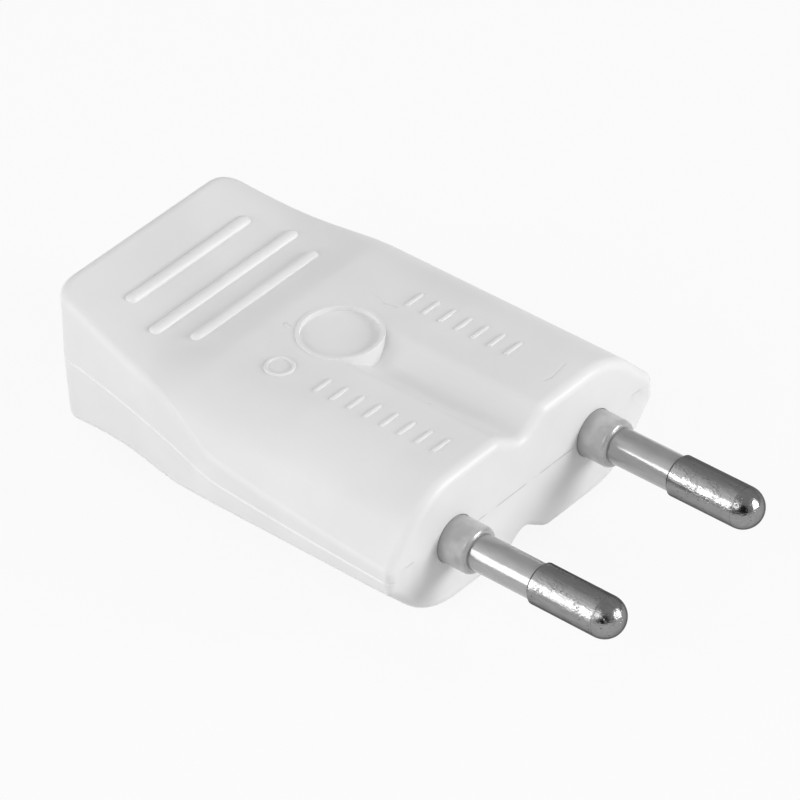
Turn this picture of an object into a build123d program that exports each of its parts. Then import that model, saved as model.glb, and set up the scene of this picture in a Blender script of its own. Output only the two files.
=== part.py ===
from build123d import *
import math
import os

# Two-pin mains plug that can be rewired: two moulded half shells screwed together round a pair of round pins.
# Millimetres. The origin is the middle of the pin face, on the parting plane. +X points out along the pins,
# +Y to the left pin and +Z up. Distances behind the pin face are written as positive numbers.

# Body outline on the parting plane, seen from above. What belongs to the grip is measured ahead of the tail end.
body_length = 46.0
face_half_width = 18.0
flank_back = 12.3
flank_narrowing = 0.5
hip_back = 22.7
hip_narrowing = 1.2
hip_radius = 12.0
waist_ahead = 12.6
waist_half_width = 14.0
tail_half_width = 11.7
tail_corner_radius = 2.5
face_corner_radius = 0.8
draft_angle = 1.0

# Body section, seen from the pins
face_half_height = 6.9
side_half_height = 1.2
facet_angle = 47.4
top_blend_radius = 8.0
rim_radius = 1.0
parting_chamfer = 0.12

# Thumb scoop: points of its floor line, as a distance ahead of the tail end and a drop below the face's height
lip_ahead = 19.2
scoop_entry_ahead = 16.2
scoop_entry_drop = 0.42
scoop_floor_ahead = 11.4
scoop_floor_drop = 0.95
scoop_exit_ahead = 5.7
scoop_exit_drop = 0.3
tail_lift = 1.1
tail_rise = 0.3
scoop_stations = 12

# Grip ribs across the scoop: distance ahead of the tail end and half length of each
rib_radius = 0.7
rib_height = 0.4
ribs = [(6.2, 8.2), (10.6, 9.8), (14.4, 8.4)]

# Round disc in its raised ring, and the groove that runs from it to the pin face
disc_back = 21.3
disc_radius = 3.7
disc_depth = 0.4
ring_width = 0.35
ring_height = 0.1
groove_half_width = 3.0
groove_depth = 2.05
groove_flare = 1.6
groove_floor_radius = 1.5
groove_edge_radius = 1.5

# Shell walls, and the lap joint between the shells
side_wall = 2.4
top_wall = 1.7
front_wall = 4.2
spine_half_width = 3.9
lap_inset = 1.2
lap_height = 0.8
lap_clearance = 0.05

# Pins, turned in one piece with their terminal barrels
pin_pitch = 19.0
pin_length = 19.0
pin_radius = 2.0
pin_shoulder_chamfer = 0.25
bare_length = 9.3
neck_radius = 1.3
barrel_radius = 3.2
barrel_half_height = 2.7
barrel_length = 11.0
wire_hole_radius = 1.3
wire_hole_depth = 8.4

# Insulating sleeves, moulded in one piece with their collars and flanges
sleeve_radius = 1.75
sleeve_clearance = 0.05
collar_radius = 2.3
collar_length = 3.0
collar_edge_radius = 0.5
flange_radius = 3.4
flange_back = 2.9
flange_thickness = 1.7
seat_clearance = 0.05

# Cradle ribs that carry the barrels
cradle_inset = 1.4
cradle_thickness = 1.2
cradle_gap = 0.4

# Screws: the terminal screws, the case screw and the cord clamp's screws
thread_clearance = 0.05
slot_width = 0.7
slot_depth = 0.7
terminal_screw_inset = 5.6
terminal_screw_radius = 1.45
terminal_screw_reach = 2.4
terminal_head_radius = 2.2
terminal_head_height = 1.6
terminal_head_room = 0.2
case_screw_radius = 1.5
case_screw_reach = 8.3
case_head_radius = 2.9
case_head_height = 2.0
case_head_seat = 3.9
case_hole_clearance = 0.2
boss_radius = 4.6
clamp_screw_spacing = 14.4
clamp_screw_radius = 1.25
clamp_screw_reach = 5.0
clamp_head_radius = 2.0
clamp_head_height = 1.4
pilot_spare_depth = 0.3

# Cord inlet and cord clamp
inlet_radius = 3.2
inlet_mouth = 0.6
clamp_ahead = 8.0
clamp_width = 5.0
clamp_half_length = 9.4
clamp_bore_radius = 2.9
clamp_thickness = 1.2
clamp_foot_thickness = 1.8
clamp_seat_drop = 0.6
clamp_head_room = 0.1
clamp_hole_clearance = 0.2
clamp_block_margin = 0.2

# Working values
facet_slope = math.tan(math.radians(facet_angle))
tip_half_width = face_half_width + side_half_height / facet_slope
overrun = 1.0
tail_half_height = face_half_height + tail_lift
tall = tail_half_height + overrun
flank_half_width = face_half_width - flank_narrowing
hip_half_width = face_half_width - hip_narrowing
waist_back = body_length - waist_ahead
lip_back = body_length - lip_ahead
disc_height = face_half_height - disc_depth
ring_radius = disc_radius + ring_width
clamp_back = body_length - clamp_ahead
wide = tip_half_width + overrun
upright = 0.2
pin_offset = pin_pitch / 2
sleeve_end = pin_length - bare_length
barrel_end = front_wall + barrel_length
front_ceiling = face_half_height - top_wall
scoop_ceiling = front_ceiling - scoop_floor_drop
clamp_foot_top = clamp_foot_thickness - clamp_seat_drop
terminal_screw_back = barrel_end - terminal_screw_inset


def span(back, front, half_width, low, high):
    """A block between two distances behind the pin face and two heights, centred across Y."""
    block = Box(back - front, 2 * half_width, high - low, align=(Align.MIN, Align.CENTER, Align.MIN))
    return Pos(-back, 0, low) * block


def rod(back, front, radius):
    """A round bar along X between two distances behind the pin face."""
    return Pos(-front, 0, 0) * Rot(0, -90, 0) * Cylinder(
        radius, back - front, align=(Align.CENTER, Align.CENTER, Align.MIN)
    )


def post(back, side, radius, low, high):
    """A round bar along Z."""
    upright_bar = Cylinder(radius, high - low, align=(Align.CENTER, Align.CENTER, Align.MIN))
    return Pos(-back, side, low) * upright_bar


def turned(points, rounded=None, radius=0):
    """Turn a profile of distances ahead of the pin face and radii round the X axis."""
    profile = make_face(Polyline(*points, close=True))
    if rounded:
        corner = min(profile.vertices(), key=lambda vertex: (Vector(vertex) - Vector(rounded)).length)
        profile = fillet(corner, radius)
    return revolve(profile, axis=Axis.X)


def body_outline(inset=0):
    """The body's outline on the parting plane, or that outline moved inwards all round but at the pin face."""
    tail = (inset - body_length, tail_half_width - inset)
    hip = (-hip_back, hip_half_width - inset)
    corner = (0, face_half_width - inset)
    grip = ThreePointArc(tail, (-waist_back, waist_half_width - inset), hip)
    flank = ThreePointArc(hip, (-flank_back, flank_half_width - inset), corner)
    closing = Polyline(corner, (0, 0), (inset - body_length, 0), tail)
    half = make_face(Curve() + [grip, flank, closing])
    outline = half + mirror(half, Plane.XZ)
    outline = fillet(outline.vertices().sort_by(Axis.X)[:2], max(tail_corner_radius - inset, face_corner_radius))
    outline = fillet(outline.vertices().sort_by(Axis.X)[-2:], face_corner_radius)
    hips = outline.vertices().filter_by(lambda vertex: abs(vertex.X + hip_back) < upright)
    return fillet(hips, hip_radius)


def drafted_walls():
    """The outline raised with the mould's draft, and a small chamfer at the parting plane."""
    lean = tall * math.tan(math.radians(draft_angle))
    foot = body_outline(parting_chamfer)
    edge = Pos(0, 0, parting_chamfer) * body_outline()
    top = Pos(0, 0, tall) * body_outline(lean)
    return loft([foot.face(), edge.face(), top.face()], ruled=True)


def body_section(height, inset=0):
    """Upper half of the body's section with its top at the given height, or that section moved inwards."""
    tip = tip_half_width - inset / math.sin(math.radians(facet_angle))
    top = height - inset
    shoulder = tip - top / facet_slope
    outline = make_face(Polyline((tip, 0), (shoulder, top), (-shoulder, top), (-tip, 0), close=True))
    return fillet(outline.vertices().sort_by(Axis.Y)[-2:], top_blend_radius - inset)


def scoop_line():
    """The floor of the thumb scoop from its lip to the tail, with height as Y."""
    return Spline(
        (-lip_back, face_half_height),
        (scoop_entry_ahead - body_length, face_half_height - scoop_entry_drop),
        (scoop_floor_ahead - body_length, face_half_height - scoop_floor_drop),
        (scoop_exit_ahead - body_length, face_half_height - scoop_exit_drop),
        (-body_length, tail_half_height),
        tangents=[(-1, 0), (-1, tail_rise)],
    )


def section_bar():
    """The body's section carried along X, its top dipping through the scoop."""
    ahead = extrude(Plane.YZ.offset(-lip_back) * body_section(face_half_height), amount=lip_back + overrun)
    floor = scoop_line()
    places = [floor @ (step / scoop_stations) for step in range(scoop_stations + 1)]
    sections = [(Plane.YZ.offset(place.X) * body_section(place.Y)).face() for place in places]
    return ahead + loft(sections)


def groove():
    """A rounded valley in the top, from the middle of the disc out through the pin face."""
    flare_height = face_half_height + (groove_flare - 1) * groove_depth
    flare_width = groove_flare * groove_half_width
    bottom = (0, face_half_height - groove_depth)
    valley = make_face(Polyline((-flare_width, flare_height), bottom, (flare_width, flare_height), close=True))
    valley = fillet(valley.vertices().sort_by(Axis.Y)[0], groove_floor_radius)
    return extrude(Plane.YZ.offset(-disc_back) * valley, amount=disc_back + overrun)


def grip_rib(ahead, half_length):
    """A rounded rib across the scoop, its ends running out into the floor."""
    place = ahead - body_length
    crossing = scoop_line().intersect(Line((place, 0), (place, tall)))
    height = crossing.vertices()[0].Y + rib_height - rib_radius
    reach = half_length - rib_radius
    bar = Rot(90, 0, 0) * Cylinder(rib_radius, 2 * reach)
    ends = [Pos(0, side * reach, 0) * Sphere(rib_radius) for side in (-1, 1)]
    return Pos(place, 0, height) * (bar + ends)


def rims(form):
    """Edges where the outer walls meet the top, leaving out the wall of the disc."""
    walls = [face for face in form.faces() if abs(face.normal_at().Z) < upright]
    tops = [face for face in form.faces() if face.normal_at().Z > 2 * upright]
    top_edges = [edge for face in tops for edge in face.edges()]
    found = [edge for face in walls for edge in face.edges() if edge in top_edges]
    disc_centre = Vector(-disc_back, 0, face_half_height)
    return [edge for edge in found if (edge.center() - disc_centre).length > ring_radius + overrun]


def outer_half():
    """Upper half of the body's outside form, solid inside."""
    half = section_bar() & drafted_walls()
    half = half - groove() + post(disc_back, 0, ring_radius, 0, face_half_height)
    banks = half.edges().filter_by(GeomType.LINE).filter_by(Axis.X)
    banks = banks.filter_by(lambda edge: 0 < abs(edge.center().Y) < 2 * groove_half_width)
    half = fillet(banks.filter_by(lambda edge: edge.center().Z > face_half_height - upright), groove_edge_radius)
    half = fillet(rims(half), rim_radius)
    for ahead, half_length in ribs:
        half = half + grip_rib(ahead, half_length)
    half = half + post(disc_back, 0, ring_radius, 0, face_half_height + ring_height)
    return half - post(disc_back, 0, disc_radius, disc_height, tall)


def hollow(*left_standing):
    """The space inside one shell, round the solid parts that are left standing in it."""
    space = extrude(body_outline(side_wall), amount=front_ceiling)
    space = space & extrude(Plane.YZ * body_section(face_half_height, top_wall), amount=-body_length)
    space = space - span(front_wall, -overrun, wide, 0, tall)
    space = space - span(body_length, lip_back, wide, scoop_ceiling, tall)
    space = space - span(disc_back, 0, spine_half_width, 0, tall)
    space = space - post(disc_back, 0, boss_radius, 0, tall)
    for inset in (front_wall + cradle_inset, barrel_end - cradle_inset):
        half_thickness = cradle_thickness / 2
        space = space - span(inset + half_thickness, inset - half_thickness, wide, cradle_gap, tall)
    for solid in left_standing:
        space = space - solid
    return space


def lap(clearance):
    """The tongue round the lower shell, or with a clearance the rebate for it."""
    ring = body_outline(lap_inset - clearance) - body_outline(side_wall + clearance)
    return extrude(ring, amount=lap_height + clearance)


def pin_seats():
    """What both shells leave free for the pins and their sleeves."""
    seats = []
    for side in (-1, 1):
        barrel = rod(barrel_end + seat_clearance, front_wall, barrel_radius + seat_clearance)
        height = barrel_half_height + seat_clearance
        barrel = barrel & span(body_length, 0, wide, -height, height)
        collar = rod(front_wall, -overrun, collar_radius + seat_clearance)
        flange = rod(
            flange_back + seat_clearance,
            flange_back - flange_thickness - seat_clearance,
            flange_radius + seat_clearance,
        )
        seats += [Pos(0, side * pin_offset, 0) * seat for seat in (barrel, collar, flange)]
    return seats


def inlet():
    """The round hole for the cord through the tail, with its bevelled mouth."""
    hole = rod(body_length + overrun, body_length - side_wall - overrun, inlet_radius)
    mouth = Cone(inlet_radius + inlet_mouth, inlet_radius, inlet_mouth, align=(Align.CENTER, Align.CENTER, Align.MIN))
    return [hole, Pos(-body_length, 0, 0) * Rot(0, 90, 0) * mouth]


def head_room():
    """What the upper shell leaves free over the terminal screws and the cord clamp's arch."""
    arch_radius = clamp_bore_radius + clamp_thickness + clamp_head_room
    rooms = [rod(clamp_back + clamp_width, clamp_back - clamp_width, arch_radius)]
    for side in (-1, 1):
        top = barrel_half_height + terminal_head_height + terminal_head_room
        radius = terminal_head_radius + terminal_head_room
        rooms.append(post(terminal_screw_back, side * pin_offset, radius, 0, top))
    return rooms


def upper_shell():
    """Upper half shell, with the boss that the case screw cuts its thread in."""
    shell = outer_half() - hollow() - lap(lap_clearance)
    shell = shell - post(
        disc_back, 0, case_screw_radius + thread_clearance, 0, case_screw_reach - case_head_seat + pilot_spare_depth
    )
    for space in head_room() + pin_seats() + inlet():
        shell = shell - space
    return shell


def clamp_block():
    """The saddle in the lower shell that the cord lies on and the clamp is screwed to."""
    half_width = clamp_width / 2
    length = clamp_half_length + clamp_block_margin
    return span(clamp_back + half_width, clamp_back - half_width, length, clamp_seat_drop, tall)


def lower_shell():
    """Lower half shell, with its tongue, the clamp's saddle and the case screw's counterbore."""
    shell = mirror(outer_half() - hollow(clamp_block()), Plane.XY) + lap(0)
    shell = shell - post(disc_back, 0, case_screw_radius + case_hole_clearance, -tall, tall)
    shell = shell - post(disc_back, 0, case_head_radius + case_hole_clearance, -tall, -case_head_seat)
    shell = shell - rod(clamp_back + clamp_width, clamp_back - clamp_width, clamp_bore_radius)
    pilot_low = clamp_foot_top - clamp_screw_reach - pilot_spare_depth
    for side in (-1, 1):
        place = side * clamp_screw_spacing / 2
        shell = shell - post(clamp_back, place, clamp_screw_radius + thread_clearance, pilot_low, 0)
    for space in pin_seats() + inlet():
        shell = shell - space
    return shell


def pin(side):
    """One pin, bored behind for the wire and across for its screw."""
    tip_start = pin_length - pin_radius
    blank = turned(
        [
            (-barrel_end, 0),
            (-barrel_end, barrel_radius),
            (-front_wall, barrel_radius),
            (-front_wall, neck_radius),
            (sleeve_end, neck_radius),
            (sleeve_end, pin_radius - pin_shoulder_chamfer),
            (sleeve_end + pin_shoulder_chamfer, pin_radius),
            (tip_start, pin_radius),
            (tip_start, 0),
        ]
    )
    blank = blank + Pos(tip_start, 0, 0) * Sphere(pin_radius)
    blank = blank & span(barrel_end, -pin_length, wide, -barrel_half_height, barrel_half_height)
    blank = blank - rod(barrel_end, barrel_end - wire_hole_depth, wire_hole_radius)
    blank = blank - post(terminal_screw_back, 0, terminal_screw_radius + thread_clearance, 0, barrel_half_height)
    return Pos(0, side * pin_offset, 0) * blank


def pin_sleeve(side):
    """One insulating sleeve: tube, collar and the flange held between the shells."""
    bore = neck_radius + sleeve_clearance
    flange_front = flange_thickness - flange_back
    sleeve = turned(
        [
            (-front_wall, bore),
            (-front_wall, collar_radius),
            (-flange_back, collar_radius),
            (-flange_back, flange_radius),
            (flange_front, flange_radius),
            (flange_front, collar_radius),
            (collar_length, collar_radius),
            (collar_length, sleeve_radius),
            (sleeve_end, sleeve_radius),
            (sleeve_end, bore),
        ],
        rounded=(collar_length, collar_radius),
        radius=collar_edge_radius,
    )
    return Pos(0, side * pin_offset, 0) * sleeve


def screw(radius, reach, head_radius, head_height):
    """A slotted screw, its head standing on the XY plane and its shank below."""
    body = post(0, 0, radius, -reach, 0) + post(0, 0, head_radius, 0, head_height)
    return body - span(head_radius, -head_radius, slot_width / 2, head_height - slot_depth, head_height)


def terminal_screw(side):
    place = Pos(-terminal_screw_back, side * pin_offset, barrel_half_height)
    return place * screw(terminal_screw_radius, terminal_screw_reach, terminal_head_radius, terminal_head_height)


def case_screw():
    upside_down = Pos(-disc_back, 0, -case_head_seat) * Rot(180, 0, 0)
    return upside_down * screw(case_screw_radius, case_screw_reach, case_head_radius, case_head_height)


def cord_clamp():
    """The arched strap over the cord, with a foot at each end."""
    half_width = clamp_width / 2
    back = clamp_back + half_width
    front = clamp_back - half_width
    strap = rod(back, front, clamp_bore_radius + clamp_thickness) & span(back, front, wide, -clamp_seat_drop, tall)
    strap = strap + span(back, front, clamp_half_length, -clamp_seat_drop, clamp_foot_top)
    strap = strap - rod(back, front, clamp_bore_radius)
    for side in (-1, 1):
        place = side * clamp_screw_spacing / 2
        strap = strap - post(
            clamp_back, place, clamp_screw_radius + clamp_hole_clearance, -clamp_seat_drop, clamp_foot_top
        )
    return strap


def cord_clamp_screw(side):
    place = Pos(-clamp_back, side * clamp_screw_spacing / 2, clamp_foot_top)
    return place * screw(clamp_screw_radius, clamp_screw_reach, clamp_head_radius, clamp_head_height)


pieces = {
    "upper_shell": upper_shell(),
    "lower_shell": lower_shell(),
    "cord_clamp": cord_clamp(),
    "case_screw": case_screw(),
}
for name, side in (("left", 1), ("right", -1)):
    pieces["pin_" + name] = pin(side)
    pieces["pin_sleeve_" + name] = pin_sleeve(side)
    pieces["terminal_screw_" + name] = terminal_screw(side)
    pieces["cord_clamp_screw_" + name] = cord_clamp_screw(side)

os.makedirs("parts", exist_ok=True)
for name, piece in pieces.items():
    export_step(piece, f"parts/{name}.step")
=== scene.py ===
"""Looks for the two-pin plug.

Finishes for its moulded shells, sleeves, pins, screws and cord clamp, a little relief on the flat top,
and a stage with a floor, lamps and a camera.
"""
import math

import bmesh
import bpy
from bpy.props import FloatProperty, FloatVectorProperty, IntProperty, PointerProperty
from bpy.types import Operator, Panel, PropertyGroup
from mathutils import Matrix, Vector


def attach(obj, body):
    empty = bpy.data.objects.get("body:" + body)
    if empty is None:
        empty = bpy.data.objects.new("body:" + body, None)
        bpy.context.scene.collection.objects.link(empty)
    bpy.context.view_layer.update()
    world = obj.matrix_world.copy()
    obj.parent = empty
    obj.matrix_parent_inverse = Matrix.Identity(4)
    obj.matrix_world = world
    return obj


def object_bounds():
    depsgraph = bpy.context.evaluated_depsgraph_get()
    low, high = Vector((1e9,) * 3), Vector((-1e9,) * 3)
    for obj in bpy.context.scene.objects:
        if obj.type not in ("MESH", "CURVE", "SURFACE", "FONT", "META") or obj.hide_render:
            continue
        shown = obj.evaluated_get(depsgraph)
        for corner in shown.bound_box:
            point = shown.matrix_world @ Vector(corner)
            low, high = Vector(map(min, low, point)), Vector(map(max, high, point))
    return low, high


bl_info = {
    "name": "Two-pin plug",
    "version": (1, 0, 0),
    "blender": (4, 5, 0),
    "location": "3D View > Sidebar > Plug",
    "description": "Dresses the packed two-pin plug with its finishes and sets its stage",
    "category": "Object",
}

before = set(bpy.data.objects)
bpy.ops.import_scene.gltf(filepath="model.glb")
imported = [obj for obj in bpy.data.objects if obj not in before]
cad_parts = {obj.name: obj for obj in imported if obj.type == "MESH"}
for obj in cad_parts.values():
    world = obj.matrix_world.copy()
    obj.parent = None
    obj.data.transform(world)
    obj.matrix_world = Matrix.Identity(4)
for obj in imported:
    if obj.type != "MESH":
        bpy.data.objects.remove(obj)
cad_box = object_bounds()


def direction(azimuth, elevation):
    """A unit vector from degrees: azimuth turns from -Y towards +X, elevation rises from level."""
    turn = math.radians(azimuth)
    rise = math.radians(elevation)
    return Vector((math.sin(turn) * math.cos(rise), -math.cos(turn) * math.cos(rise), math.sin(rise)))


MM = 0.001
WHITE = (1.0, 1.0, 1.0, 1.0)

# The way from the plug to the camera, to the dark part of the room below it, and to the glow on its left
CAMERA_WAY = direction(42.78, 37.96)
DARK_WAY = direction(32.0, 15.0)
GLOW_WAY = direction(-35.5, 22.0)

# Places on the plug, in millimetres
TOP_HEIGHT = 6.9
MARKS_HEIGHT = 6.0
FACE_START = -0.06
SIDES_END = -0.9
SEAM_REACH = 6.6
COLLAR_FADE = (3.15, 2.6)
# Where the painted shade on the collar's root fades out, going away from the shell's face
ROOT_SHADE_FADE = (1.3, 0.0)
DOME_START = 17.05
BODY_MIDDLE = (-15.0, 0.0, 0.0)
NEAR_PIN = (20.0, -9.5, 0.0)

# The relief: where each row of bars starts and ends and its distance across, and the middle of the ring
FAR_ROW = (-19.2, -7.6, 7.7)
NEAR_ROW = (-17.4, -3.6, -6.8)
RING_MIDDLE = (-22.2, -7.1)

# Marks that the mould left on the flat top: start, end and half width, and height against the grain's
MOULD_MARKS = (
    ((-22.3, 5.9), (-20.9, 5.5), 0.04, 3.0),
    ((-20.9, 5.5), (-19.7, 5.8), 0.04, 3.0),
    ((-2.5, 5.9), (-2.3, 6.6), 0.04, -3.0),
    ((-2.3, 6.6), (-2.6, 8.8), 0.04, -3.0),
    ((-25.9, -2.2), (-25.5, -2.3), 0.15, 5.0),
)
MARK_SOFTNESS = 0.14

# A small dark speck near the groove
SPECK_START = (-8.45, -2.75)
SPECK_END = (-8.35, -2.7)

# The ring's half width as a share of a bar's width
RING_SHARE = 0.42

# The share of the floor's own glow where the camera, a gleam or a clear surface looks at it
FLOOR_GLOW = 0.90

# Half the floor's width, in metres
FLOOR_REACH = 1.5

# How dark the dark part of the room is, and the cosines at its outer and inner edge
DARK_DEPTH = 0.95
DARK_EDGE = (0.79, 0.90)

# The cosine where the glow starts, and the outer and inner edge of its band
GLOW_START = 0.2
GLOW_EDGE = (0.22, 0.06)

# A Mix node's sockets for colours, by number, because its names repeat
MIX_AMOUNT = 0
MIX_FIRST = 6
MIX_SECOND = 7
MIX_RESULT = 2


class Shade:
    """A socket in a material, so that sums of sockets can be written as Python expressions."""

    def __init__(self, graph, socket):
        self.graph = graph
        self.socket = socket

    def _math(self, operation, *values):
        return self.graph.node("ShaderNodeMath", {"operation": operation}, values)

    def __add__(self, other):
        return self._math("ADD", self, other)

    def __sub__(self, other):
        return self._math("SUBTRACT", self, other)

    def __mul__(self, other):
        return self._math("MULTIPLY", self, other)

    def __truediv__(self, other):
        return self._math("DIVIDE", self, other)

    def __pow__(self, other):
        return self._math("POWER", self, other)

    def __radd__(self, other):
        return self._math("ADD", other, self)

    def __rsub__(self, other):
        return self._math("SUBTRACT", other, self)

    def __rmul__(self, other):
        return self._math("MULTIPLY", other, self)

    def __rtruediv__(self, other):
        return self._math("DIVIDE", other, self)

    def __abs__(self):
        return self._math("ABSOLUTE", self)

    def above(self, limit):
        return self._math("GREATER_THAN", self, limit)

    def below(self, limit):
        return self._math("LESS_THAN", self, limit)

    def least(self, other):
        return self._math("MINIMUM", self, other)

    def most(self, other):
        return self._math("MAXIMUM", self, other)

    def ramp(self, low, high):
        """Rises smoothly from 0 at low to 1 at high, or falls where low is the larger."""
        if low > high:
            return 1.0 - self.ramp(high, low)
        settings = {"interpolation_type": "SMOOTHSTEP"}
        values = {"Value": self, "From Min": low, "From Max": high}
        return self.graph.node("ShaderNodeMapRange", settings, values)


class Graph:
    """A node tree and the one helper that adds nodes to it."""

    def __init__(self, tree):
        self.tree = tree

    def node(self, kind, settings=None, values=None, output=0):
        """Adds a node, first its settings and then what its sockets hold, and returns one of its outputs."""
        made = self.tree.nodes.new(kind)
        for key, value in (settings or {}).items():
            setattr(made, key, value)
        values = values or {}
        pairs = values.items() if isinstance(values, dict) else enumerate(values)
        for key, value in pairs:
            self.feed(made.inputs[key], value)
        return Shade(self, made.outputs[output])

    def feed(self, socket, value):
        """Links a socket to a shade, or gives it a plain value."""
        if isinstance(value, Shade):
            self.tree.links.new(value.socket, socket)
        else:
            socket.default_value = value


class Finish(Graph):
    """A material with one Principled shader and helpers for its patterns."""

    def __init__(self, name):
        self.material = bpy.data.materials.new(name)
        self.material.use_nodes = True
        super().__init__(self.material.node_tree)
        self.shader = next(n for n in self.tree.nodes if n.type == "BSDF_PRINCIPLED")
        self.output = next(n for n in self.tree.nodes if n.type == "OUTPUT_MATERIAL")
        self.place = self.node("ShaderNodeTexCoord", output="Object")

    def axis(self, name):
        """Object coordinates along one axis, in millimetres."""
        return self.node("ShaderNodeSeparateXYZ", {}, [self.place], name) / MM

    def noise(self, size, detail=3.0, roughness=0.5, stretch=(1.0, 1.0, 1.0)):
        """Noise whose features are about size millimetres across, from 0 to 1."""
        moved = self.node("ShaderNodeMapping", {}, {"Vector": self.place, "Scale": stretch})
        values = {"Vector": moved, "Scale": 1.0 / (size * MM), "Detail": detail, "Roughness": roughness}
        return self.node("ShaderNodeTexNoise", {"noise_dimensions": "3D"}, values)

    def cells(self, size):
        """Distance to the nearest of scattered points that are about size millimetres apart."""
        settings = {"feature": "F1", "voronoi_dimensions": "3D"}
        return self.node("ShaderNodeTexVoronoi", settings, {"Vector": self.place, "Scale": 1.0 / (size * MM)})

    def mix(self, amount, first, second):
        """Blends two colours."""
        made = self.tree.nodes.new("ShaderNodeMix")
        made.data_type = "RGBA"
        self.feed(made.inputs[MIX_AMOUNT], amount)
        for number, colour in ((MIX_FIRST, first), (MIX_SECOND, second)):
            self.feed(made.inputs[number], colour if isinstance(colour, Shade) else (*colour, 1.0))
        return Shade(self, made.outputs[MIX_RESULT])

    def set(self, **constants):
        """Sets sockets of the shader by name, with underscores for spaces."""
        for name, value in constants.items():
            self.feed(self.shader.inputs[name.replace("_", " ")], value)

    def bump(self, height, depth):
        """Raises the surface by height times depth millimetres."""
        values = {"Height": height * (depth * MM), "Distance": 1.0, "Strength": 1.0}
        self.feed(self.shader.inputs["Normal"], self.node("ShaderNodeBump", {}, values))


def tone(colour, factor):
    """A colour made darker or lighter by a factor, and never past white."""
    return [min(part * factor, 1.0) for part in colour]


def stroke(x, y, start, end, half_width, soften):
    """A mask that is 1 along the straight line from start to end, on coordinates in millimetres."""
    along = Vector(end) - Vector(start)
    length = along.length
    way = along / length
    ahead = (x - start[0]) * way.x + (y - start[1]) * way.y
    aside = (x - start[0]) * way.y - (y - start[1]) * way.x
    past = abs(ahead - length / 2) - length / 2
    distance = (past.most(0.0) ** 2.0 + aside * aside) ** 0.5
    return distance.ramp(half_width + soften, half_width)


class PlugFinish(PropertyGroup):
    """Colours and gloss of the plug's finishes"""

    shell_colour: FloatVectorProperty(
        name="Shell colour",
        description="Colour of the two moulded half shells",
        subtype="COLOR",
        size=3,
        min=0.0,
        max=1.0,
        default=(0.83, 0.83, 0.83),
    )
    shell_roughness: FloatProperty(
        name="Shell roughness",
        description="Roughness of the moulded surface, from 0 for polished to 1 for matt",
        min=0.0,
        max=1.0,
        default=0.40,
    )
    sleeve_colour: FloatVectorProperty(
        name="Sleeve colour",
        description="Colour of the insulating sleeves where they are thin",
        subtype="COLOR",
        size=3,
        min=0.0,
        max=1.0,
        default=(0.39, 0.39, 0.39),
    )
    collar_colour: FloatVectorProperty(
        name="Collar colour",
        description="Colour of the thicker collars of the sleeves",
        subtype="COLOR",
        size=3,
        min=0.0,
        max=1.0,
        default=(0.58, 0.58, 0.58),
    )
    pin_colour: FloatVectorProperty(
        name="Pin colour",
        description="Colour of the nickel plating",
        subtype="COLOR",
        size=3,
        min=0.0,
        max=1.0,
        default=(0.30, 0.30, 0.30),
    )


class PlugRelief(PropertyGroup):
    """Sizes of the plain bars and the plain ring on the flat top"""

    height: FloatProperty(
        name="Height",
        description="How far the bars and the ring stand out of the shell",
        unit="LENGTH",
        default=0.18 * MM,
    )
    width: FloatProperty(name="Width", description="Width of each bar", unit="LENGTH", default=0.5 * MM)
    length: FloatProperty(name="Length", description="Length of each bar", unit="LENGTH", default=2.3 * MM)
    far_count: IntProperty(name="Far row", description="Bars in the row on the left lobe", default=7, min=1)
    near_count: IntProperty(
        name="Near row", description="Bars in the row on the right lobe", default=8, min=1
    )
    ring_radius: FloatProperty(
        name="Ring", description="Radius of the plain ring", unit="LENGTH", default=1.25 * MM
    )


class PlugStage(PropertyGroup):
    """Strengths of the lights and the colour of the floor"""

    key_power: FloatProperty(
        name="Key light", description="Power of the low key light", unit="POWER", default=1.85
    )
    fill_power: FloatProperty(
        name="Fill light", description="Power of the low fill light", unit="POWER", default=0.35
    )
    side_power: FloatProperty(
        name="Side light", description="Power of the high side light", unit="POWER", default=0.70
    )
    strip_power: FloatProperty(
        name="Strip light",
        description="Power of the tall light that gleams along the pins",
        unit="POWER",
        default=0.60,
    )
    room_light: FloatProperty(
        name="Room light", description="Strength of the even light round the plug", default=0.46
    )
    room_glow: FloatProperty(
        name="Room glow", description="Extra light in the band above the strip light", default=2.6
    )
    floor_colour: FloatVectorProperty(
        name="Floor colour",
        description="Colour of the floor under the plug",
        subtype="COLOR",
        size=3,
        min=0.0,
        max=1.0,
        default=(0.74, 0.74, 0.74),
    )


def assign(material, *names):
    """Gives CAD nodes one material."""
    for name in names:
        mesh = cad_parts[name].data
        mesh.materials.clear()
        mesh.materials.append(material)


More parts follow.
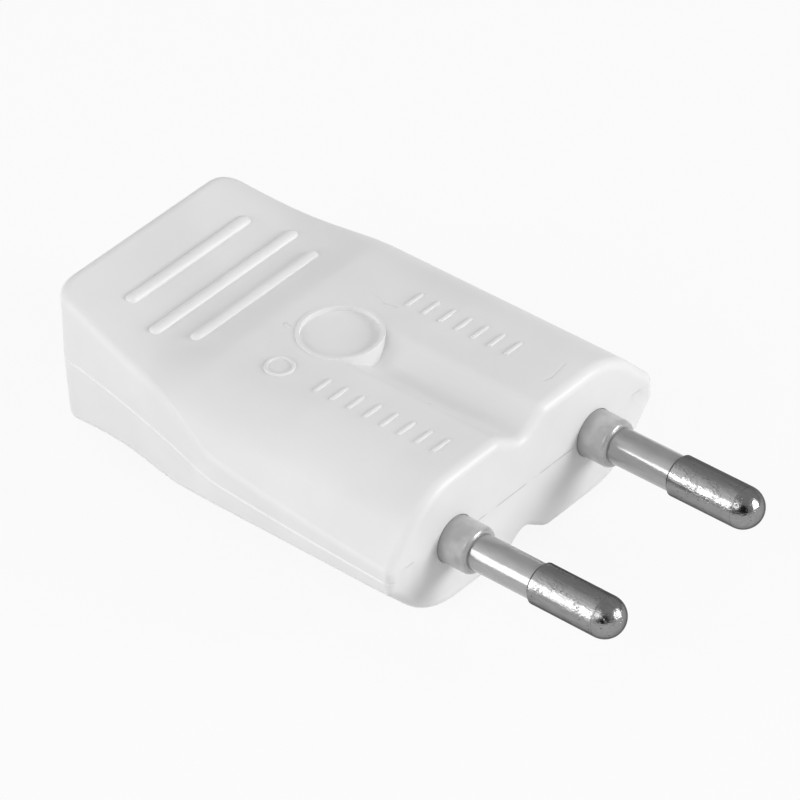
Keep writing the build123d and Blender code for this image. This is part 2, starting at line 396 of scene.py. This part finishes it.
def moulded_shell(name, settings, upper):
    """White moulded plastic with a faint flow texture and, on the upper shell, a few mould marks."""
    finish = Finish(name)
    x = finish.axis("X")
    y = finish.axis("Y")
    z = finish.axis("Z")
    cloud = finish.noise(size=9.0, detail=2.0)
    grain = finish.noise(size=0.35, detail=3.0, roughness=0.55)
    ripple = finish.noise(size=1.6, detail=2.0)
    colour = settings.shell_colour
    plastic = finish.mix(cloud.ramp(0.35, 0.65), tone(colour, 0.975), tone(colour, 1.015))

    # Where the halves meet, a broken dark seam shows on the pin face, and a pale line on the sides is a
    # painted highlight
    broken = finish.noise(size=3.4, detail=2.0).ramp(0.40, 0.52)
    seam = abs(z).ramp(0.10, 0.03) * x.above(FACE_START) * abs(y).below(SEAM_REACH) * broken
    plastic = finish.mix(seam * 0.5, plastic, tone(colour, 0.45))
    # Painted highlight: the parting line on the sides is lightened as if light caught its ridge
    parting_highlight = abs(z).ramp(0.20, 0.10) * x.below(SIDES_END)
    plastic = finish.mix(parting_highlight * 0.7, plastic, tone(colour, 1.12))

    height = grain * 0.16 + ripple * 0.84
    if upper:
        on_top = z.above(MARKS_HEIGHT)
        for start, end, half_width, rise in MOULD_MARKS:
            height = height + stroke(x, y, start, end, half_width, MARK_SOFTNESS) * rise * on_top
        speck = stroke(x, y, SPECK_START, SPECK_END, 0.05, 0.06) * on_top
        plastic = finish.mix(speck * 0.4, plastic, tone(colour, 0.4))
    finish.set(
        Base_Color=plastic,
        Roughness=settings.shell_roughness + (grain - 0.5) * 0.10 + (cloud - 0.5) * 0.06,
        IOR=1.49,
        Subsurface_Weight=0.12,
        Subsurface_Scale=0.9 * MM,
        Subsurface_Radius=(1.0, 0.95, 0.9),
    )
    finish.bump(height, 0.012)
    return finish.material


def sleeve_plastic(settings):
    """Grey plastic, thin on the tube, where the metal neck gleams through, and cloudy on the collar, with
    painted shade at the collar's root.
    """
    finish = Finish("sleeve_plastic")
    x = finish.axis("X")
    cloud = finish.noise(size=1.5, detail=2.0)
    streak = finish.noise(size=0.7, detail=2.0, stretch=(0.35, 1.0, 1.0))
    grain = finish.noise(size=0.22, detail=2.0)
    on_collar = x.ramp(*COLLAR_FADE)
    root_shade = x.ramp(*ROOT_SHADE_FADE)
    thin = settings.sleeve_colour
    thick = settings.collar_colour
    tube = finish.mix(streak.ramp(0.3, 0.7), tone(thin, 0.92), thin)
    collar = finish.mix(cloud.ramp(0.35, 0.65), tone(thick, 0.8), thick)
    # Painted shade: the collar is darkened towards its root, where it meets the shell's face
    collar = finish.mix(root_shade * 0.8, collar, tone(thick, 0.62))
    finish.set(
        Base_Color=finish.mix(on_collar, tube, collar),
        Metallic=0.5 - on_collar * 0.40,
        Roughness=0.20 + on_collar * 0.14 + (grain - 0.5) * 0.06,
        IOR=1.5,
        Coat_Weight=0.25,
        Coat_Roughness=0.08,
    )
    finish.bump(cloud * 0.7 + grain * 0.2 + streak * 0.1, 0.03)
    return finish.material


def nickel_plate(settings):
    """Bright plated metal with fine pits, lines along the pin and a turned line where its dome starts."""
    finish = Finish("nickel_plate")
    lines = finish.noise(size=0.3, detail=3.0, roughness=0.6, stretch=(0.18, 1.0, 1.0))
    speckle = finish.noise(size=0.17, detail=2.0, roughness=0.6, stretch=(0.6, 1.0, 1.0))
    patches = finish.noise(size=1.4, detail=2.0).ramp(0.40, 0.60)
    pits = finish.cells(size=0.5).ramp(0.26, 0.08) * patches
    dome_line = abs(finish.axis("X") - DOME_START).ramp(0.10, 0.02)
    colour = settings.pin_colour
    plate = finish.mix(lines.ramp(0.3, 0.7), tone(colour, 0.92), tone(colour, 1.06))
    plate = finish.mix((pits * 0.25 + dome_line * 0.25).least(1.0), plate, tone(colour, 0.5))
    finish.set(
        Base_Color=plate,
        Metallic=1.0,
        Roughness=0.14 + patches * 0.06 + pits * 0.12,
        Specular_Tint=(0.25, 0.25, 0.25, 1.0),
    )
    finish.bump(lines * 0.6 + speckle * 0.5 + speckle * patches * 0.9 - pits * 1.2 - dome_line * 0.7, 0.026)
    return finish.material


def turned_metal(name, colour, roughness):
    """Plain turned screw metal with fine turning rings."""
    finish = Finish(name)
    rings = finish.noise(size=0.2, detail=2.0, roughness=0.6, stretch=(1.0, 1.0, 0.15))
    cloud = finish.noise(size=1.5)
    metal = finish.mix(cloud.ramp(0.35, 0.7), tone(colour, 0.8), colour)
    finish.set(Base_Color=metal, Metallic=1.0, Roughness=roughness + rings * 0.14)
    finish.bump(rings, 0.008)
    return finish.material


def clamp_plastic(colour):
    """Off-white plastic of the cord clamp."""
    finish = Finish("clamp_plastic")
    grain = finish.noise(size=0.4)
    plastic = finish.mix(grain.ramp(0.3, 0.7), tone(colour, 0.94), colour)
    finish.set(Base_Color=plastic, Roughness=0.5 + (grain - 0.5) * 0.14, IOR=1.49)
    finish.bump(grain, 0.012)
    return finish.material


def link(name, data):
    """Makes an object and puts it in the scene."""
    made = bpy.data.objects.new(name, data)
    bpy.context.scene.collection.objects.link(made)
    return made


def own_mesh(name, mesh, material):
    """Turns a bmesh into a smooth object that rides on the plug and takes the given material."""
    bmesh.ops.recalc_face_normals(mesh, faces=mesh.faces)
    for face in mesh.faces:
        face.smooth = True
    data = bpy.data.meshes.new(name)
    mesh.to_mesh(data)
    mesh.free()
    data.materials.append(material)
    made = link(name, data)
    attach(made, "root")


def bar_row(name, row, count, settings, material):
    """A row of plain rounded bars that lie across the plug and stand a little out of its flat top."""
    first, last, across = row
    mesh = bmesh.new()
    radius = settings.width / 2
    reach = settings.length / 2 - radius
    for index in range(count):
        place = first + (last - first) * index / (count - 1)
        bar = bmesh.ops.create_uvsphere(mesh, u_segments=16, v_segments=10, radius=radius)["verts"]
        # The two halves of a ball move apart and leave its middle circle in place
        for side in (-1, 1):
            half = [vert for vert in bar if vert.co.y * side > radius * 0.01]
            bmesh.ops.translate(mesh, verts=half, vec=(0.0, side * reach, 0.0))
        bmesh.ops.scale(mesh, verts=bar, vec=(1.0, 1.0, settings.height / radius))
        bmesh.ops.translate(mesh, verts=bar, vec=(place * MM, across * MM, TOP_HEIGHT * MM))
    own_mesh(name, mesh, material)


def plain_ring(name, place, settings, material):
    """A thin round ring that stands a little out of the flat top."""
    mesh = bmesh.new()
    half_width = settings.width * RING_SHARE
    section = bmesh.ops.create_circle(mesh, segments=12, radius=half_width)["verts"]
    upright = Matrix.Rotation(math.radians(90.0), 3, "X")
    bmesh.ops.scale(mesh, verts=section, vec=(1.0, settings.height / half_width, 1.0))
    bmesh.ops.rotate(mesh, verts=section, cent=(0.0, 0.0, 0.0), matrix=upright)
    bmesh.ops.translate(mesh, verts=section, vec=(settings.ring_radius, 0.0, 0.0))
    bmesh.ops.spin(
        mesh,
        geom=mesh.verts[:] + mesh.edges[:],
        cent=(0.0, 0.0, 0.0),
        axis=(0.0, 0.0, 1.0),
        angle=math.radians(360.0),
        steps=48,
        use_merge=True,
    )
    bmesh.ops.translate(mesh, verts=mesh.verts, vec=(place[0] * MM, place[1] * MM, TOP_HEIGHT * MM))
    own_mesh(name, mesh, material)


class PLUG_OT_shells(Operator):
    """Give both half shells their moulded finish"""

    bl_idname = "plug.shells"
    bl_label = "Shells"

    def execute(self, context):
        settings = context.scene.plug_finish
        assign(moulded_shell("upper_shell_plastic", settings, True), "upper_shell")
        assign(moulded_shell("lower_shell_plastic", settings, False), "lower_shell")
        return {"FINISHED"}


class PLUG_OT_relief(Operator):
    """Add the two rows of plain bars and the plain ring on the flat top"""

    bl_idname = "plug.relief"
    bl_label = "Relief"

    def execute(self, context):
        settings = context.scene.plug_relief
        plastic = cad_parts["upper_shell"].data.materials[0]
        bar_row("far_bars", FAR_ROW, settings.far_count, settings, plastic)
        bar_row("near_bars", NEAR_ROW, settings.near_count, settings, plastic)
        plain_ring("plain_ring", RING_MIDDLE, settings, plastic)
        return {"FINISHED"}


class PLUG_OT_pins(Operator):
    """Give the pins and their sleeves their finishes"""

    bl_idname = "plug.pins"
    bl_label = "Pins and sleeves"

    def execute(self, context):
        settings = context.scene.plug_finish
        assign(nickel_plate(settings), "pin_left", "pin_right")
        assign(sleeve_plastic(settings), "pin_sleeve_left", "pin_sleeve_right")
        return {"FINISHED"}


class PLUG_OT_inner_parts(Operator):
    """Give the screws and the cord clamp their finishes"""

    bl_idname = "plug.inner_parts"
    bl_label = "Screws and clamp"

    def execute(self, context):
        brass = turned_metal("screw_brass", (0.72, 0.58, 0.32), 0.3)
        zinc = turned_metal("screw_zinc", (0.6, 0.6, 0.58), 0.32)
        assign(brass, "terminal_screw_left", "terminal_screw_right")
        assign(zinc, "case_screw", "cord_clamp_screw_left", "cord_clamp_screw_right")
        assign(clamp_plastic((0.78, 0.78, 0.76)), "cord_clamp")
        return {"FINISHED"}


class PLUG_OT_stage(Operator):
    """Lay the floor and set the lamps and the camera"""

    bl_idname = "plug.stage"
    bl_label = "Stage"

    def execute(self, context):
        settings = context.scene.plug_stage
        lay_floor(settings)
        place_lamps(settings)
        light_room(settings)
        place_camera()
        return {"FINISHED"}


def lay_floor(settings):
    """A plain pale floor that the plug lies on."""
    mesh = bmesh.new()
    bmesh.ops.create_grid(mesh, x_segments=1, y_segments=1, size=FLOOR_REACH)
    bmesh.ops.translate(mesh, verts=mesh.verts, vec=(0.0, 0.0, cad_box[0][2]))
    data = bpy.data.meshes.new("floor")
    mesh.to_mesh(data)
    mesh.free()
    link("floor", data)
    finish = Finish("floor_white")
    finish.set(Base_Color=(*settings.floor_colour, 1.0), Roughness=0.9, Specular_IOR_Level=0.0)
    seen = finish.node("ShaderNodeLightPath", output="Is Camera Ray")
    glossy = finish.node("ShaderNodeLightPath", output="Is Glossy Ray")
    through = finish.node("ShaderNodeLightPath", output="Is Transmission Ray")
    share = (seen + glossy + through).least(1.0) * FLOOR_GLOW
    surface = Shade(finish, finish.shader.outputs[0])
    glow = finish.node("ShaderNodeEmission", {}, {"Color": WHITE, "Strength": 1.0})
    mixed = finish.node("ShaderNodeMixShader", {}, [share, surface, glow])
    finish.feed(finish.output.inputs["Surface"], mixed)
    data.materials.append(finish.material)


def area_light(name, place, target, size, power):
    """A soft light with its place, width and height in millimetres, aimed at a point."""
    lamp = bpy.data.lights.new(name, "AREA")
    lamp.shape = "RECTANGLE"
    lamp.size = size[0] * MM
    lamp.size_y = size[1] * MM
    lamp.energy = power
    made = link(name, lamp)
    made.location = Vector(place) * MM
    made.rotation_euler = (Vector(target) - Vector(place)).to_track_quat("-Z", "Y").to_euler()
    return made


def place_lamps(settings):
    """Four soft lights, of which the fill light doesn't show in reflections."""
    area_light("key_light", (457.0, 253.0, 190.0), BODY_MIDDLE, (230.0, 230.0), settings.key_power)
    fill = area_light("fill_light", (186.0, -535.0, 69.0), BODY_MIDDLE, (300.0, 300.0), settings.fill_power)
    fill.visible_glossy = False
    area_light("side_light", (-15.0, -460.0, 345.0), BODY_MIDDLE, (260.0, 260.0), settings.side_power)
    area_light("strip_light", (-308.0, -470.0, 162.0), NEAR_PIN, (120.0, 340.0), settings.strip_power)


def light_room(settings):
    """Even light all round, but for a dark part and a band that brightens towards the strip light."""
    world = bpy.data.worlds.new("studio")
    bpy.context.scene.world = world
    world.use_nodes = True
    graph = Graph(world.node_tree)
    background = next(n for n in world.node_tree.nodes if n.type == "BACKGROUND")
    background.inputs["Color"].default_value = WHITE
    looking = graph.node("ShaderNodeTexCoord", output="Generated")
    product = {"operation": "DOT_PRODUCT"}
    towards_dark = graph.node("ShaderNodeVectorMath", product, [looking, DARK_WAY], "Value")
    towards_glow = graph.node("ShaderNodeVectorMath", product, [looking, GLOW_WAY], "Value")
    aside = abs(graph.node("ShaderNodeSeparateXYZ", {}, [looking], "X") - GLOW_WAY.x)
    rise = ((towards_glow - GLOW_START) / (1.0 - GLOW_START)).most(0.0)
    glow = aside.ramp(*GLOW_EDGE) * rise * rise * settings.room_glow
    dark = towards_dark.ramp(*DARK_EDGE) * DARK_DEPTH
    graph.feed(background.inputs["Strength"], (1.0 - dark + glow) * settings.room_light)


def place_camera():
    """The camera's place and lens come from matching the pins and the body's outline."""
    aim = Vector((-15.3, 0.0, 0.0))
    distance = 572.8
    aside = 0.53
    above = 1.65
    roll = math.radians(-2.8)
    back = CAMERA_WAY
    right = (-back).cross(Vector((0.0, 0.0, 1.0))).normalized()
    up = right.cross(-back)
    turned_right = math.cos(roll) * right + math.sin(roll) * up
    turned_up = math.cos(roll) * up - math.sin(roll) * right
    place = aim + back * distance + turned_right * aside + turned_up * above
    lens = bpy.data.cameras.new("camera")
    lens.lens = 288.25
    lens.sensor_width = 36.0
    lens.clip_start = 0.01
    camera = link("camera", lens)
    turn = Matrix((turned_right, turned_up, back)).transposed().to_4x4()
    camera.matrix_world = Matrix.Translation(place * MM) @ turn
    bpy.context.scene.camera = camera
    bpy.context.scene.view_settings.view_transform = "Standard"


class PLUG_PT_panel(Panel):
    """Buttons and sizes for the plug's looks"""

    bl_idname = "PLUG_PT_panel"
    bl_label = "Two-pin plug"
    bl_space_type = "VIEW_3D"
    bl_region_type = "UI"
    bl_category = "Plug"

    def draw(self, context):
        for group in (context.scene.plug_finish, context.scene.plug_relief, context.scene.plug_stage):
            column = self.layout.column(align=True)
            for name in group.__annotations__:
                column.prop(group, name)
        for operator in OPERATORS:
            self.layout.operator(operator.bl_idname)


OPERATORS = (PLUG_OT_shells, PLUG_OT_relief, PLUG_OT_pins, PLUG_OT_inner_parts, PLUG_OT_stage)
GROUPS = {"plug_finish": PlugFinish, "plug_relief": PlugRelief, "plug_stage": PlugStage}
CLASSES = (*GROUPS.values(), *OPERATORS, PLUG_PT_panel)


def register():
    for kind in CLASSES:
        bpy.utils.register_class(kind)
    for name, group in GROUPS.items():
        setattr(bpy.types.Scene, name, PointerProperty(type=group))


def unregister():
    for name in GROUPS:
        delattr(bpy.types.Scene, name)
    for kind in reversed(CLASSES):
        bpy.utils.unregister_class(kind)


def main():
    register()
    bpy.ops.plug.shells()
    bpy.ops.plug.relief()
    bpy.ops.plug.pins()
    bpy.ops.plug.inner_parts()
    bpy.ops.plug.stage()


if __name__ == "__main__":
    main()
